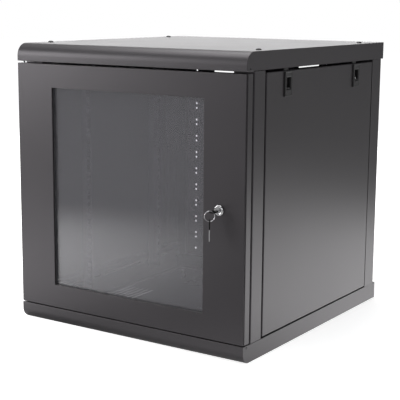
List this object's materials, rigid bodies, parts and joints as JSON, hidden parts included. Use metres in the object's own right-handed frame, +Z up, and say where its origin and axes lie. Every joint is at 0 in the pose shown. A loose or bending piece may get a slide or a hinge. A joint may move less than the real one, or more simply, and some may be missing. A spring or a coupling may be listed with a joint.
{
  "type": "wall mount network cabinet",
  "caption": "Wall-mount 19-inch network cabinet with a hinged glass door, key lock, adjustable rack rails and tilt-out side panels held by slide latches.",
  "frame": {"origin": "centre of the base, on the underside of the bottom cover", "axes": "+X to the right seen from the door, +Y to the rear (wall side), +Z up"},
  "size_m": [0.607, 0.6703, 0.6384],
  "materials": {
    "black_sheet": "fine-textured powder coat",
    "tinted_glass": "polished, tinted",
    "black_rubber": "matte",
    "zinc_steel": "zinc plated",
    "black_screws": "black oxide",
    "chrome": "polished",
    "black_plastic": "fine grain",
    "nylon": "satin"
  },
  "bodies": {
    "cabinet": {"top_cover": "black_sheet", "bottom_cover": "black_sheet", "cable_entry_plate": "black_sheet", "panel_screws": "zinc_steel", "cover_screws": "black_screws", "cover_rivets": "black_screws", "front_post_left": "black_sheet", "front_post_right": "black_sheet", "rear_post_left": "black_sheet", "rear_post_right": "black_sheet", "front_beam_top": "black_sheet", "front_beam_bottom": "black_sheet", "rear_beam_top": "black_sheet", "rear_beam_bottom": "black_sheet", "side_beam_top_left": "black_sheet", "side_beam_top_right": "black_sheet", "side_beam_bottom_left": "black_sheet", "side_beam_bottom_right": "black_sheet", "frame_bolts": "zinc_steel", "rear_panel": "black_sheet", "rail_supports_left": "black_sheet", "rail_supports_right": "black_sheet", "front_rack_rail_left": "black_sheet", "front_rack_rail_right": "black_sheet", "rear_rack_rail_left": "black_sheet", "rear_rack_rail_right": "black_sheet", "rail_bolts": "zinc_steel", "door_bumpers": "black_rubber", "hinge_bushes": "nylon", "earth_stud": "zinc_steel"},
    "door": {"door_plate": "black_sheet", "door_channel_left": "black_sheet", "door_channel_right": "black_sheet", "door_channel_top": "black_sheet", "door_channel_bottom": "black_sheet", "window_gasket": "black_rubber", "window_glass": "tinted_glass", "glass_clips": "zinc_steel", "glass_clip_screws": "zinc_steel", "hinge_brackets": "zinc_steel", "hinge_pin_lower": "zinc_steel", "lock_body": "chrome", "lock_nut": "chrome"},
    "spring_pin": {"hinge_pin_upper": "zinc_steel"},
    "lock": {"lock_plug": "chrome", "lock_cam": "zinc_steel", "cam_screw": "zinc_steel", "key_head": "black_plastic", "key_blade": "zinc_steel"},
    "ring": {"key_ring": "zinc_steel"},
    "spare_key": {"spare_key_head": "black_plastic", "spare_key_blade": "zinc_steel"},
    "panel_right": {"side_panel_right": "black_sheet", "latch_housings_right": "black_plastic"},
    "panel_left": {"side_panel_left": "black_sheet", "latch_housings_left": "black_plastic"},
    "latch_front_right": {"latch_slider_front_right": "black_plastic"},
    "latch_rear_right": {"latch_slider_rear_right": "black_plastic"},
    "latch_front_left": {"latch_slider_front_left": "black_plastic"},
    "latch_rear_left": {"latch_slider_rear_left": "black_plastic"}
  },
  "joints": [
    {"name": "door_swing", "type": "hinge", "parent": "cabinet", "child": "door", "pos_m": [-0.291, -0.3055, 0.317], "axis": [0, 0, -1], "range_deg": [0, 180]},
    {"name": "hinge_pin_retract", "type": "slide", "parent": "door", "child": "spring_pin", "axis": [0, 0, -1], "range_m": [0, 0.01], "stiffness_N_per_m": 400, "springref_m": -0.01},
    {"name": "lock_turn", "type": "hinge", "parent": "door", "child": "lock", "pos_m": [0.24, -0.3175, 0.3165], "axis": [0, -1, 0], "range_deg": [0, 90]},
    {"name": "ring_swing", "type": "hinge", "parent": "lock", "child": "ring", "pos_m": [0.23475, -0.34548, 0.31885], "axis": [0.8339, 0.5519, 0], "range_deg": [-12, 12]},
    {"name": "spare_key_swing", "type": "hinge", "parent": "ring", "child": "spare_key", "pos_m": [0.23475, -0.34548, 0.29785], "axis": [0.8339, 0.5519, 0], "range_deg": [-22, 22]},
    {"name": "panel_tilt_right", "type": "hinge", "parent": "cabinet", "child": "panel_right", "pos_m": [0.3, 0.00775, 0.0415], "axis": [0, 1, 0], "range_deg": [0, 25]},
    {"name": "panel_tilt_left", "type": "hinge", "parent": "cabinet", "child": "panel_left", "pos_m": [-0.3, 0.00775, 0.0415], "axis": [0, -1, 0], "range_deg": [0, 25]},
    {"name": "latch_slide_front_right", "type": "slide", "parent": "panel_right", "child": "latch_front_right", "axis": [0, 0, 1], "range_m": [0, 0.008]},
    {"name": "latch_slide_rear_right", "type": "slide", "parent": "panel_right", "child": "latch_rear_right", "axis": [0, 0, 1], "range_m": [0, 0.008]},
    {"name": "latch_slide_front_left", "type": "slide", "parent": "panel_left", "child": "latch_front_left", "axis": [0, 0, 1], "range_m": [0, 0.008]},
    {"name": "latch_slide_rear_left", "type": "slide", "parent": "panel_left", "child": "latch_rear_left", "axis": [0, 0, 1], "range_m": [0, 0.008]}
  ]
}
